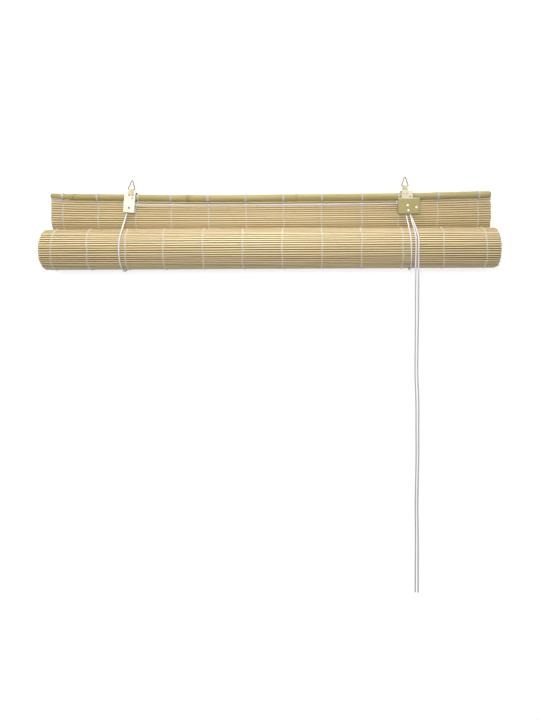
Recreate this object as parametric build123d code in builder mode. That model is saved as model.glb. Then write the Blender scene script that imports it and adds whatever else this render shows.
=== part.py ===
from build123d import *
import os
from math import acos, atan, atan2, cos, hypot, pi, radians, sin, sqrt, tan

os.makedirs("parts", exist_ok=True)

# Roll-up bamboo blind, rolled up and hung by two wire triangles.
# X runs along the rod, Y towards the wall, Z up. The origin lies midway along the rod, level
# with the right hanging point.

# Fits, in millimetres as everything here
overrun = 1.0
pin_fit = 0.05
running_fit = 0.08
side_play = 0.2
soft_clearance = 0.3
tooth_clearance = 0.4

# Head rod, a bamboo cane
rod_length = 990.0
rod_diameter = 15.6
rod_bore = 5.5
rod_bore_depth = 40.0
# place along the rod and radius at each station: even internodes between three swollen nodes
rod_station_shares = [
    (-0.500, 0.88), (-0.455, 0.88), (-0.4475, 0.99), (-0.440, 0.93), (-0.196, 0.93),
    (-0.189, 1.07), (-0.182, 1.04), (0.051, 1.04), (0.058, 1.14), (0.065, 1.06),
    (0.494, 1.06), (0.500, 0.94),
]

# Reed mat
mat_overhang = 3.0
mat_setback = 1.5
splint_pitch = 5.0
splint_thickness = 2.6
groove_width = 1.0
groove_depth = 0.8
gap_height = 0.5
web_width = 8.0
turn_gap = 1.1
rolled_length = 1727.0
sway_radius = 60.0
roll_drop = 116.2
roll_forward = 15.2

# Bottom rod, the core of the roll
bottom_rod_diameter = 16.0
bottom_rod_overhang = 1.0
bottom_rod_bore = 6.0
core_clearance = 0.7

# Warp threads
thread_width = 1.6
thread_thickness = 0.5
binding_width = 5.0
binding_height = 0.7
binding_sides = 12
thread_place_shares = [
    -0.474, -0.395, -0.302, -0.227, -0.1435, -0.057,
    0.0285, 0.1155, 0.2075, 0.290, 0.380, 0.4725,
]
# threads at which a web joins the splints across the gaps
web_threads = [0, 4, 7, 11]

# Clips, folded from sheet
sheet = 1.0
bend_radius = 2.0
strap_width = 24.5
clip_top = 11.5
leg_depth = 10.5
plate_gap = 8.9
rod_slack = 0.5
left_leg_drop = 34.6
left_clip_tilt = 5.0
thread_room = 3.5
corner_radius = 2.0

# Cord lock plates, part of the right clip
lock_width = 48.5
lock_shift = 4.0
lock_leg_drop = 40.0
front_shoulder_drop = 5.0
back_shoulder_drop = 13.0

# Hanger tabs and wire triangles
tab_width = 13.0
tab_foot_rise = 0.5
eye_width = 9.6
neck_drop = 4.0
right_tab_shift = -5.0
left_tab_shift = 2.5
bar_rise = 21.0
left_bar_rise = 16.6
wire_diameter = 2.0
wire_sides = 6
hanger_width = 15.5
hanger_height = 23.67
hanger_bend = 1.7
eye_wrap = 300.0

# Rivets and nails
rivet_diameter = 2.0
rivet_head_diameter = 3.4
rivet_head_height = 0.7
rivet_tail_height = 0.4
rivet_spacing = 7.0
rivet_rise = 4.5
nail_diameter = 1.6
nail_head_diameter = 3.4
nail_head_height = 0.8
nail_depth = 5.0
nail_side = 6.0
nail_fall = 2.5

# Axles and wheels
axle_diameter = 3.0
axle_head_diameter = 5.0
axle_head_height = 0.9
axle_tail_height = 0.4
left_pulley_radius = 6.0
left_pulley_drop = 24.2
lock_pulley_radius = 5.0
lock_pulley_drop = 22.0
lock_pulley_side = 1.3
flange_height = 2.1
flange_edge = 0.4
cord_groove = 3.3
hub_radius = 2.8
roller_radius = 3.0
roller_drop = 33.6
roller_side = 2.8
cam_drop = 26.5
cam_side = 20.6
cam_hub_radius = 4.5
cam_tooth_depth = 0.8
cam_growth = 1.6
cam_tooth_count = 6
cam_first_angle = 190.0
cam_last_angle = 236.0
cam_shoulder_angle = 120.0
cam_heel_angle = 300.0

# Cords
cord_diameter = 3.0
cord_sides = 6
edge_bend = 9.0
wrap_share = 0.97


def cord_flats():
    # the braid's section, taken as six flats
    RegularPolygon(radius=cord_diameter / 2, side_count=cord_sides)


# Places of the main lines
mat_width = rod_length + 2 * mat_overhang
bottom_rod_length = rod_length + 2 * bottom_rod_overhang
cord_radius = cord_diameter / 2
wire_radius = wire_diameter / 2
hanger_half_angle = atan(hanger_width / 2 / hanger_height)
bar_drop = hanger_height - hanger_bend / sin(hanger_half_angle) + hanger_bend - wire_radius
eye_radius = wire_radius + pin_fit
rod_y = leg_depth + sheet - eye_radius
rod_z = -(bar_drop + bar_rise)
mat_y = rod_y + mat_setback
rod_stations = [(along * rod_length, wide * rod_diameter / 2) for along, wide in rod_station_shares]
thread_places = [share * rod_length for share in thread_place_shares]


def rod_radius(x):
    # radius of the cane between its stations
    for (x0, r0), (x1, r1) in zip(rod_stations, rod_stations[1:]):
        if x0 <= x <= x1:
            return r0 + (r1 - r0) * (x - x0) / (x1 - x0)
    return rod_stations[-1][1]


# Mat: its middle line hangs straight, sways back and winds into the roll
turn_pitch = splint_thickness + turn_gap
core_radius = bottom_rod_diameter / 2
inner_radius = core_radius + core_clearance + splint_thickness / 2
roll_mid_radius = sqrt(inner_radius**2 + rolled_length * turn_pitch / pi)
roll_radius = roll_mid_radius + splint_thickness / 2
roll_y = rod_y - roll_forward
roll_z = rod_z - roll_drop
sway_angle = acos((mat_y + sway_radius - roll_y) / (sway_radius + roll_mid_radius))
sway_top = roll_z + (sway_radius + roll_mid_radius) * sin(sway_angle)
mat_top = rod_z - max(radius for x, radius in rod_stations) - cord_diameter - soft_clearance
straight_run = mat_top - sway_top
sway_run = sway_radius * sway_angle
wound_start = straight_run + sway_run
outer_turn = 2 * pi * roll_mid_radius
splint_count = int((wound_start + rolled_length) / splint_pitch)


def mat_point(run, lift):
    # a point of the mat's section, `run` down from its top edge and `lift` towards its back face
    if run < straight_run:
        return (mat_y + lift, mat_top - run)
    if run < wound_start:
        turn = (run - straight_run) / sway_radius
        reach = sway_radius - lift
        return (mat_y + sway_radius - reach * cos(turn), sway_top - reach * sin(turn))
    wound = run - wound_start
    shrink = roll_mid_radius - sqrt(roll_mid_radius**2 - turn_pitch * wound / pi)
    reach = roll_mid_radius - shrink + lift
    angle = sway_angle - shrink * 2 * pi / turn_pitch
    return (roll_y + reach * cos(angle), roll_z + reach * sin(angle))


def mat_face(lift, open_run):
    # one face of the mat: a flat per splint, with a groove between splints where it can be seen
    points = [mat_point(0, lift)]
    floor = lift - groove_depth if lift > 0 else lift + groove_depth
    for splint in range(splint_count):
        start = splint * splint_pitch
        end = start + splint_pitch
        if start >= open_run or splint == splint_count - 1:
            points.append(mat_point(end, lift))
            continue
        points.append(mat_point(end - groove_width / 2, lift))
        points.append(mat_point(end, floor))
        points.append(mat_point(end + groove_width / 2, lift))
    return points


back_face = mat_face(splint_thickness / 2, wound_start + outer_turn)
front_face = mat_face(-splint_thickness / 2, wound_start)
gap_rows = int(straight_run / splint_pitch)
with BuildPart() as reed_mat:
    with BuildSketch(Plane.YZ):
        with BuildLine():
            Polyline(*back_face, *reversed(front_face), close=True)
        make_face()
    extrude(amount=mat_width / 2, both=True)
    with BuildSketch(Plane.XZ.offset(-mat_y)):
        for first, last in zip(web_threads, web_threads[1:]):
            bay = thread_places[last] - thread_places[first] - web_width
            middle = (thread_places[last] + thread_places[first]) / 2
            for row in range(gap_rows):
                with Locations((middle, mat_top - (row + 1) * splint_pitch)):
                    Rectangle(bay, gap_height)
    extrude(amount=splint_thickness, both=True, mode=Mode.SUBTRACT)

# Bottom rod, a shorter cane bored through
with BuildPart() as bottom_rod:
    with BuildSketch(Plane((0, roll_y, roll_z), x_dir=(0, 1, 0), z_dir=(1, 0, 0))):
        Circle(core_radius)
        Circle(bottom_rod_bore / 2, mode=Mode.SUBTRACT)
    extrude(amount=bottom_rod_length / 2, both=True)

# Warp threads: a binding round the rod and a strand down each face of the hanging mat
with BuildPart() as warp_threads:
    for x in thread_places:
        seat = (rod_radius(x) + pin_fit) / cos(pi / binding_sides)
        with BuildSketch(Plane((x, rod_y, rod_z), x_dir=(0, 1, 0), z_dir=(1, 0, 0))):
            RegularPolygon(seat + binding_height, binding_sides)
            RegularPolygon(seat, binding_sides, mode=Mode.SUBTRACT)
        extrude(amount=binding_width / 2, both=True)
        strand_top = rod_z - seat
        strand_offset = (splint_thickness + thread_thickness) / 2
        for face_y in (mat_y - strand_offset, mat_y + strand_offset):
            with Locations((x, face_y, strand_top)):
                Box(thread_width, thread_thickness, strand_top - sway_top - splint_pitch,
                    align=(Align.CENTER, Align.CENTER, Align.MAX))


# Clips
left_lean = clip_top * sin(radians(left_clip_tilt))
left_clip_x = (thread_places[2] - binding_width / 2 - soft_clearance
               - strap_width / 2 - left_lean)
right_clip_x = thread_places[9] + binding_width / 2 + thread_room + strap_width / 2
left_tab_x = left_clip_x + left_tab_shift
right_tab_x = right_clip_x + right_tab_shift
left_seat = rod_radius(left_clip_x + strap_width / 2) + strap_width / 2 * tan(radians(left_clip_tilt))
right_seat = rod_radius(right_clip_x - strap_width / 2)


def face_plane(x, tilt, depth):
    # faces the room, `depth` in front of the rod's axis: local x along the rod, local y up
    lean = radians(tilt)
    return Plane((x, rod_y - depth, rod_z), x_dir=(cos(lean), 0, -sin(lean)), z_dir=(0, -1, 0))


def side_plane(x, tilt):
    # looks along the rod: local x towards the wall, local y up
    lean = radians(tilt)
    return Plane((x, rod_y, rod_z), x_dir=(0, 1, 0), z_dir=(cos(lean), 0, -sin(lean)))


def clip_fold(seat, leg_drop):
    # middle line of the folded sheet: front leg, over the rod, under it, back leg
    front = -(leg_depth + sheet / 2)
    top = clip_top - sheet / 2
    behind = seat + rod_slack + sheet / 2
    under = -(seat + pin_fit + sheet / 2)
    back = -(leg_depth - plate_gap - sheet / 2)
    return [(front, -leg_drop), (front, top), (behind, top),
            (behind, under), (back, under), (back, -leg_drop)]


front_plate_depth = leg_depth + sheet
back_plate_depth = leg_depth - plate_gap
rivet_spots = [(-rivet_spacing / 2, rivet_rise), (rivet_spacing / 2, rivet_rise)]
nail_spot = (nail_side, -nail_fall)
left_axle_spot = (0, -left_pulley_drop)
lock_pulley_spot = (lock_pulley_side, -lock_pulley_drop)
roller_spot = (roller_side, -roller_drop)
cam_spot = (cam_side, -cam_drop)

with BuildPart() as left_clip:
    with BuildSketch(side_plane(left_clip_x, left_clip_tilt)):
        with BuildLine():
            FilletPolyline(*clip_fold(left_seat, left_leg_drop), radius=bend_radius)
        trace(line_width=sheet)
    extrude(amount=strap_width / 2, both=True)
    with BuildSketch(face_plane(left_tab_x, left_clip_tilt, front_plate_depth)):
        with Locations(*rivet_spots):
            Circle(rivet_diameter / 2 + pin_fit)
    extrude(amount=-(sheet + overrun), mode=Mode.SUBTRACT)
    with BuildSketch(face_plane(left_clip_x, left_clip_tilt, front_plate_depth)):
        with Locations(nail_spot):
            Circle(nail_diameter / 2 + pin_fit)
    extrude(amount=-(sheet + overrun), mode=Mode.SUBTRACT)
    with BuildSketch(face_plane(left_clip_x, left_clip_tilt, front_plate_depth)):
        with Locations(left_axle_spot):
            Circle(axle_diameter / 2 + pin_fit)
    extrude(amount=-(plate_gap + 2 * sheet + overrun), mode=Mode.SUBTRACT)

with BuildPart() as right_clip:
    with BuildSketch(side_plane(right_clip_x, 0)):
        with BuildLine():
            FilletPolyline(*clip_fold(right_seat, lock_leg_drop), radius=bend_radius)
        trace(line_width=sheet)
    extrude(amount=strap_width / 2, both=True)
    # the lock plates, wider than the strap, below their shoulders
    for depth, shoulder in ((front_plate_depth, front_shoulder_drop),
                            (back_plate_depth, back_shoulder_drop)):
        with BuildSketch(face_plane(right_clip_x, 0, depth)):
            with Locations((lock_shift, -shoulder)):
                RectangleRounded(lock_width, lock_leg_drop - shoulder, corner_radius,
                                 align=(Align.CENTER, Align.MAX))
        extrude(amount=-sheet)
    with BuildSketch(face_plane(right_tab_x, 0, front_plate_depth)):
        with Locations(*rivet_spots):
            Circle(rivet_diameter / 2 + pin_fit)
    extrude(amount=-(sheet + overrun), mode=Mode.SUBTRACT)
    with BuildSketch(face_plane(right_clip_x, 0, front_plate_depth)):
        with Locations(nail_spot):
            Circle(nail_diameter / 2 + pin_fit)
    extrude(amount=-(sheet + overrun), mode=Mode.SUBTRACT)
    with BuildSketch(face_plane(right_clip_x, 0, front_plate_depth)):
        with Locations(lock_pulley_spot, roller_spot, cam_spot):
            Circle(axle_diameter / 2 + pin_fit)
    extrude(amount=-(plate_gap + 2 * sheet + overrun), mode=Mode.SUBTRACT)


def make_tab(x, tilt, rise):
    # flat foot on the clip's front leg, its top rolled back round the hanger's bar
    eye_line = eye_radius + sheet / 2
    with BuildPart() as tab:
        with BuildSketch(side_plane(x, tilt)):
            with BuildLine():
                foot = Line((-(front_plate_depth + sheet / 2), tab_foot_rise),
                            (-(front_plate_depth + sheet / 2), rise))
                JernArc(start=foot @ 1, tangent=foot % 1, radius=eye_line, arc_size=-eye_wrap)
            trace(line_width=sheet)
        extrude(amount=tab_width / 2, both=True)
        with BuildSketch(face_plane(x, tilt, front_plate_depth + sheet)):
            with Locations(*rivet_spots):
                Circle(rivet_diameter / 2 + pin_fit)
        extrude(amount=-(sheet + overrun), mode=Mode.SUBTRACT)
        # both sides cut back to the eye, so the hanger's bends clear it
        notch = (tab_width - eye_width) / 2 + overrun
        notch_height = neck_drop + eye_line + sheet
        with BuildSketch(face_plane(x, tilt, rod_y)):
            for side in (-1, 1):
                with Locations((side * (eye_width + notch) / 2, rise - neck_drop + notch_height / 2)):
                    Rectangle(notch, notch_height)
        extrude(amount=rod_y, both=True, mode=Mode.SUBTRACT)
    return tab.part


# Tab rivets, two at each clip, through the tab and the clip's front leg
clip_places = [(left_clip_x, left_clip_tilt), (right_clip_x, 0)]
with BuildPart() as tab_rivets:
    for x, tilt in ((left_tab_x, left_clip_tilt), (right_tab_x, 0)):
        with BuildSketch(face_plane(x, tilt, front_plate_depth + sheet)):
            with Locations(*rivet_spots):
                Circle(rivet_head_diameter / 2)
        extrude(amount=rivet_head_height)
        with BuildSketch(face_plane(x, tilt, front_plate_depth + sheet)):
            with Locations(*rivet_spots):
                Circle(rivet_diameter / 2)
        extrude(amount=-(2 * sheet + rivet_tail_height))


def nail_length(x):
    # through the front leg, across the slack and into the rod
    return front_plate_depth - sqrt(rod_radius(x + nail_side)**2 - nail_fall**2) + nail_depth


# Rod nails, one at each clip
with BuildPart() as rod_nails:
    for x, tilt in clip_places:
        with BuildSketch(face_plane(x, tilt, front_plate_depth)):
            with Locations(nail_spot):
                Circle(nail_head_diameter / 2)
        extrude(amount=nail_head_height)
        with BuildSketch(face_plane(x, tilt, front_plate_depth)):
            with Locations(nail_spot):
                Circle(nail_diameter / 2)
        extrude(amount=-nail_length(x))


def make_hanger(x, tilt, rise):
    # wire triangle: its bar lies in the tab's eye, its rounded top hangs on the hook
    half = hanger_width / 2
    with BuildPart() as hanger:
        with BuildLine(face_plane(x, tilt, rod_y)) as bend:
            FilletPolyline((-half, rise), (half, rise), (0, rise + hanger_height),
                           radius=hanger_bend, close=True)
        with BuildSketch(Plane(origin=bend.line @ 0, z_dir=bend.line % 0)):
            RegularPolygon(wire_radius, wire_sides)
        sweep(path=bend.wires()[0])
    return hanger.part


# Axles and wheels
wheel_width = cord_groove + 2 * flange_edge
single_groove_depth = leg_depth - plate_gap / 2
front_groove_depth = leg_depth - side_play - wheel_width / 2
rear_groove_depth = front_groove_depth - wheel_width - side_play
inner_width = plate_gap - 2 * side_play


# Axle pins: shank through both plates, a low head in front and a peened tail behind
axle_places = [(left_clip_x, left_clip_tilt, left_axle_spot)]
axle_places += [(right_clip_x, 0, spot) for spot in (lock_pulley_spot, roller_spot, cam_spot)]
with BuildPart() as axle_pins:
    for x, tilt, spot in axle_places:
        with BuildSketch(face_plane(x, tilt, front_plate_depth)):
            with Locations(spot):
                Circle(axle_head_diameter / 2)
        extrude(amount=axle_head_height)
        with BuildSketch(face_plane(x, tilt, front_plate_depth)):
            with Locations(spot):
                Circle(axle_diameter / 2)
        extrude(amount=-(plate_gap + 2 * sheet + axle_tail_height))


def make_wheel(x, tilt, spot, depth, pitch_radius, hub_width):
    # grooved wheel turned about its axle, with a hub as wide as asked
    centre = face_plane(x, tilt, depth).from_local_coords(spot)
    bore = axle_diameter / 2 + running_fit
    floor = pitch_radius - cord_radius - soft_clearance
    rim = pitch_radius + flange_height
    half = wheel_width / 2
    side = [(hub_radius, half), (rim, half), (rim, half - flange_edge),
            (floor, half - flange_edge)]
    half_outline = [(bore, hub_width / 2), (hub_radius, hub_width / 2)] + side
    if hub_width <= wheel_width:
        half_outline = [(bore, half)] + side[1:]
    mirrored = [(across, -along) for across, along in reversed(half_outline)]
    with BuildPart() as wheel:
        with BuildSketch(Plane(centre, x_dir=(1, 0, 0), z_dir=(0, 0, 1))):
            with BuildLine():
                Polyline(*half_outline, *mirrored, close=True)
            make_face()
        revolve(axis=Axis(centre, (0, 1, 0)))
    return wheel.part


# Lock guide roller, a plain sleeve
with BuildPart() as lock_roller:
    with BuildSketch(face_plane(right_clip_x, 0, leg_depth - side_play)):
        with Locations(roller_spot):
            Circle(roller_radius)
            Circle(axle_diameter / 2 + running_fit, mode=Mode.SUBTRACT)
    extrude(amount=-inner_width)

# Lock cam: its toothed nose grows away from the axle, so it grips harder as the cords draw it up
cord_side = roller_side + roller_radius + soft_clearance + cord_radius
cord_slope = atan((cord_side - lock_pulley_side - lock_pulley_radius) / (roller_drop - lock_pulley_drop))
cord_line_side = cord_side - (roller_drop - cam_drop) * tan(cord_slope)
cam_reach = (cam_side - cord_line_side) * cos(cord_slope) - cord_radius - tooth_clearance


def cam_point(reach, angle):
    turn = radians(angle)
    return (cam_spot[0] + reach * cos(turn), cam_spot[1] + reach * sin(turn))


cam_step = (cam_last_angle - cam_first_angle) / cam_tooth_count
cam_outline = [cam_point(cam_hub_radius, cam_shoulder_angle)]
for tooth in range(cam_tooth_count):
    tip = cam_reach + cam_growth * tooth / cam_tooth_count
    angle = cam_first_angle + cam_step * tooth
    cam_outline.append(cam_point(tip, angle))
    cam_outline.append(cam_point(tip - cam_tooth_depth, angle + cam_step / 2))
cam_outline.append(cam_point(cam_reach + cam_growth, cam_last_angle))
cam_outline.append(cam_point(cam_hub_radius, cam_heel_angle))
with BuildPart() as lock_cam:
    with BuildSketch(face_plane(right_clip_x, 0, leg_depth - side_play)):
        with BuildLine():
            Polyline(*cam_outline, close=True)
        make_face()
        with Locations(cam_spot):
            Circle(cam_hub_radius)
            Circle(axle_diameter / 2 + running_fit, mode=Mode.SUBTRACT)
    extrude(amount=-inner_width)

# Head rod, turned to its stations, hollow to the first node at each end, with the two nail holes
with BuildPart() as head_rod:
    with BuildSketch(Plane((0, rod_y, rod_z), x_dir=(1, 0, 0), z_dir=(0, -1, 0))):
        with BuildLine():
            Polyline((rod_stations[0][0], 0), *rod_stations, (rod_stations[-1][0], 0), close=True)
        make_face()
    revolve(axis=Axis((0, rod_y, rod_z), (1, 0, 0)))
    for side in (-1, 1):
        with BuildSketch(Plane((side * rod_length / 2, rod_y, rod_z), x_dir=(0, 1, 0), z_dir=(-side, 0, 0))):
            Circle(rod_bore / 2)
        extrude(amount=rod_bore_depth, mode=Mode.SUBTRACT)
    for x, tilt in clip_places:
        with BuildSketch(face_plane(x, tilt, front_plate_depth)):
            with Locations(nail_spot):
                Circle(nail_diameter / 2 + pin_fit)
        extrude(amount=-(nail_length(x) + pin_fit), mode=Mode.SUBTRACT)

# Lift cords: fixed to the back of the rod beside each clip, down behind the mat, under the roll,
# up its front and over the wheels
tie_reach = strap_width / 2 + left_lean + soft_clearance + cord_diameter
left_tie_x = left_clip_x - tie_reach
right_tie_x = right_clip_x + tie_reach
wrap_radius = roll_radius + soft_clearance + cord_radius
wrap_corners = 4


def tangent_angle(y, z, side):
    # where a straight cord from (y, z) first touches the circle that the cord takes round the roll
    toward = atan2(z - roll_z, y - roll_y)
    return toward + side * acos(wrap_radius / hypot(y - roll_y, z - roll_z))


def roll_wrap(tie, exit_point):
    # corners round the roll, from its back to its front, drifting along it from tie to exit
    start = tangent_angle(tie[1], tie[2], -1)
    end = tangent_angle(exit_point[1], exit_point[2], 1) - 2 * pi
    step = (start - end) / wrap_corners
    corners = []
    for corner in range(wrap_corners):
        angle = start - step * (corner + 1 / 2)
        reach = wrap_radius / cos(step / 2)
        drift = sqrt((corner + 1) / (wrap_corners + 1))
        corners.append((tie[0] + (exit_point[0] - tie[0]) * drift,
                        roll_y + reach * cos(angle), roll_z + reach * sin(angle)))
    return corners


def easy_radius(before, corner, after):
    # as large an arc as the two runs allow
    run_in = Vector(*corner) - Vector(*before)
    run_out = Vector(*after) - Vector(*corner)
    shorter = min(run_in.length, run_out.length)
    ease_share = 0.45
    return ease_share * shorter / tan(radians(run_in.get_angle(run_out)) / 2)


def make_cord(name, route, radii):
    with BuildPart() as cord:
        with BuildLine() as line:
            FilletPolyline(*route, radius=radii)
        with BuildSketch(Plane(origin=line.line @ 0, z_dir=line.line % 0)) as section:
            cord_flats()
        sweep(path=line.wires()[0])
    ratio = cord.part.volume / (section.sketch.area * line.wires()[0].length)
    print(name, "length", round(line.wires()[0].length, 1), "volume share", round(ratio, 3),
          "radii", [round(radius, 1) for radius in radii])
    return cord.part


def clip_spot(x, tilt, spot, depth):
    return tuple(face_plane(x, tilt, depth).from_local_coords(spot))


def tie_point(x):
    return (x, rod_y + rod_radius(x) + pin_fit + cord_radius, rod_z)


left_axle = clip_spot(left_clip_x, left_clip_tilt, left_axle_spot, single_groove_depth)
lock_axle = clip_spot(right_clip_x, 0, lock_pulley_spot, front_groove_depth)
front_y = rod_y - front_groove_depth
rear_y = rod_y - rear_groove_depth
nip_x = right_clip_x + cord_side
nip_z = rod_z - roller_drop
lock_exit_z = rod_z - lock_leg_drop
lock_top_z = lock_axle[2] + lock_pulley_radius
left_up_x = left_axle[0] - left_pulley_radius
right_up_x = lock_axle[0] - lock_pulley_radius
lock_down_x = lock_axle[0] + lock_pulley_radius
wrap_radii = [wrap_share * wrap_radius] * wrap_corners

left_tie = tie_point(left_tie_x)
left_exit = (left_up_x, left_axle[1], rod_z - left_leg_drop - cord_radius)
left_route = [
    left_tie, *roll_wrap(left_tie, left_exit), left_exit,
    (left_up_x, left_axle[1], left_axle[2] + left_pulley_radius),
    (lock_down_x, front_y, lock_top_z), (nip_x, front_y, nip_z), (nip_x, front_y, lock_exit_z),
]
left_lift = make_cord("left_lift_cord", left_route, wrap_radii + [
    edge_bend, left_pulley_radius, lock_pulley_radius, easy_radius(*left_route[-3:])])

right_tie = tie_point(right_tie_x)
right_exit = (right_up_x, rear_y, lock_exit_z - cord_radius)
right_route = [
    right_tie, *roll_wrap(right_tie, right_exit), right_exit,
    (right_up_x, rear_y, lock_top_z), (lock_down_x, rear_y, lock_top_z),
    (nip_x, rear_y, nip_z), (nip_x, rear_y, lock_exit_z),
]
right_lift = make_cord("right_lift_cord", right_route, wrap_radii + [
    edge_bend, wrap_share * lock_pulley_radius, wrap_share * lock_pulley_radius,
    easy_radius(*right_route[-3:])])

# Pull cords: out of the lock, over the front of the roll, then hanging free to their ends
left_pull_route = [
    (312.95, 2.2, -80.1), (312.6, 2.2, -87.0), (311.7, -44.5, -124.4), (311.3, -54.35, -144.8),
    (310.9, -54.4, -200.0), (310.2, -54.0, -256.0), (309.7, -54.5, -313.0), (309.0, -54.2, -370.0),
    (309.3, -53.6, -427.0), (311.2, -53.9, -484.0), (312.3, -54.6, -541.0), (312.5, -54.3, -598.0),
    (311.4, -53.8, -655.0), (310.6, -54.2, -712.0), (310.3, -54.6, -770.0), (310.4, -54.3, -830.0),
    (309.9, -54.0, -889.0),
]
right_pull_route = [
    (312.95, 6.5, -80.25), (314.2, 6.5, -87.0), (316.2, -43.4, -122.8), (317.0, -54.35, -144.1),
    (316.8, -54.4, -200.0), (316.0, -54.4, -256.0), (315.4, -54.1, -313.0), (314.4, -54.6, -370.0),
    (314.3, -54.9, -427.0), (316.3, -54.4, -484.0), (317.7, -53.8, -541.0), (318.1, -54.2, -598.0),
    (317.0, -54.7, -655.0), (316.2, -54.4, -712.0), (316.3, -53.9, -770.0), (316.0, -54.3, -830.0),
    (316.2, -54.6, -889.0),
]


def pull_radii(route):
    # the lock's edge, the front of the roll, then arcs as large as the runs allow
    free = [easy_radius(*route[at - 1:at + 2]) for at in range(4, len(route) - 1)]
    return [edge_bend, wrap_share * wrap_radius, wrap_share * wrap_radius] + free


# Every piece with its label, written one file each
pieces = {
    "head_rod": head_rod.part,
    "bottom_rod": bottom_rod.part,
    "reed_mat": reed_mat.part,
    "warp_threads": warp_threads.part,
    "left_clip": left_clip.part,
    "right_clip": right_clip.part,
    "left_hanger_tab": make_tab(left_tab_x, left_clip_tilt, left_bar_rise),
    "right_hanger_tab": make_tab(right_tab_x, 0, bar_rise),
    "tab_rivets": tab_rivets.part,
    "rod_nails": rod_nails.part,
    "left_hanger": make_hanger(left_tab_x, left_clip_tilt, left_bar_rise),
    "right_hanger": make_hanger(right_tab_x, 0, bar_rise),
    "axle_pins": axle_pins.part,
    "left_pulley": make_wheel(left_clip_x, left_clip_tilt, left_axle_spot, single_groove_depth,
                              left_pulley_radius, inner_width),
    "lock_front_pulley": make_wheel(right_clip_x, 0, lock_pulley_spot, front_groove_depth,
                                    lock_pulley_radius, wheel_width),
    "lock_rear_pulley": make_wheel(right_clip_x, 0, lock_pulley_spot, rear_groove_depth,
                                   lock_pulley_radius, wheel_width),
    "lock_roller": lock_roller.part,
    "lock_cam": lock_cam.part,
    "left_lift_cord": left_lift,
    "right_lift_cord": right_lift,
    "left_pull_cord": make_cord("left_pull_cord", left_pull_route, pull_radii(left_pull_route)),
    "right_pull_cord": make_cord("right_pull_cord", right_pull_route, pull_radii(right_pull_route)),
}
for name, piece in pieces.items():
    piece.label = name
    export_step(piece, f"parts/{name}.step")

print("roll radius", round(roll_radius, 2), "mat drop", round(splint_count * splint_pitch, 1))
for place, spot in (("left axle", left_axle), ("lock axle", lock_axle),
                    ("roller", clip_spot(right_clip_x, 0, roller_spot, single_groove_depth)),
                    ("cam", clip_spot(right_clip_x, 0, cam_spot, single_groove_depth)),
                    ("left bar", clip_spot(left_tab_x, left_clip_tilt, (0, left_bar_rise), rod_y)),
                    ("right bar", clip_spot(right_tab_x, 0, (0, bar_rise), rod_y)),
                    ("left hook", clip_spot(left_tab_x, left_clip_tilt, (0, left_bar_rise + bar_drop), rod_y)),
                    ("right hook", clip_spot(right_tab_x, 0, (0, bar_rise + bar_drop), rod_y))):
    print(place, [round(value, 3) for value in spot])
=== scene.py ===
import bpy
import math
import mathutils
import numpy as np
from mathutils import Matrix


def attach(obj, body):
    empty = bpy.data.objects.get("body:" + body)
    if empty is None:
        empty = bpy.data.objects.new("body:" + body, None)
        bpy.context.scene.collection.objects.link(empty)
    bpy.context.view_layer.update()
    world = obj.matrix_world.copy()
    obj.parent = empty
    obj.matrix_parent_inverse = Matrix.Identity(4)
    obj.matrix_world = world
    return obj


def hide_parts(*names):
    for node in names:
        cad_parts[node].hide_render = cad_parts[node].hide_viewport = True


# Roll-up bamboo blind, in metres: X along the rod, Y to the wall, Z up.
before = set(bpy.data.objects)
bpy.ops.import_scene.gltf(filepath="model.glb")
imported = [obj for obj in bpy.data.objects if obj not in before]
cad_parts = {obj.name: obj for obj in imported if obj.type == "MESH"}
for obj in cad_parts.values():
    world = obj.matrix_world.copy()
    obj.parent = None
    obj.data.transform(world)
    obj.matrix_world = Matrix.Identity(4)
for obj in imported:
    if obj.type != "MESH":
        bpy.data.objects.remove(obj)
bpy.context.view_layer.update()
mm = 0.001
chance = np.random.default_rng(71)


def smoothNoise(x, seed, wave):
    # sum of sin(2 pi x / length + phase) / n for n = 1 to 3, waves and phases from the seed, over 1 + 1/2 + 1/3
    dice = np.random.default_rng(seed)
    total = np.zeros_like(np.asarray(x, float))
    for octave in range(3):
        length = wave * dice.uniform(0.6, 1.4) / (octave + 1)
        total += np.sin(2 * np.pi * (np.asarray(x) / length + dice.uniform())) / (octave + 1)
    return total / 1.83


def buildMesh(name, points, faces, uv, tone):
    # one smooth mesh object from arrays: points (n, 3), faces (m, 4) with -1 for a missing fourth corner
    totals = np.where(faces[:, 3] < 0, 3, 4)
    starts = np.concatenate([[0], np.cumsum(totals)[:-1]])
    loops = faces[faces >= 0]
    mesh = bpy.data.meshes.new(name)
    mesh.vertices.add(len(points))
    mesh.vertices.foreach_set("co", points.astype(np.float32).ravel())
    mesh.loops.add(len(loops))
    mesh.loops.foreach_set("vertex_index", loops.astype(np.int32))
    mesh.polygons.add(len(faces))
    mesh.polygons.foreach_set("loop_start", starts.astype(np.int32))
    mesh.polygons.foreach_set("loop_total", totals.astype(np.int32))
    mesh.update(calc_edges=True)
    layer = mesh.uv_layers.new(name="UVMap")
    layer.data.foreach_set("uv", uv.astype(np.float32)[loops].ravel())
    layer = mesh.attributes.new("tone", "FLOAT", "POINT")
    layer.data.foreach_set("value", tone.astype(np.float32))
    mesh.polygons.foreach_set("use_smooth", np.ones(len(faces), bool))
    mesh.validate()
    piece = bpy.data.objects.new(name, mesh)
    bpy.context.scene.collection.objects.link(piece)
    return piece


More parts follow.
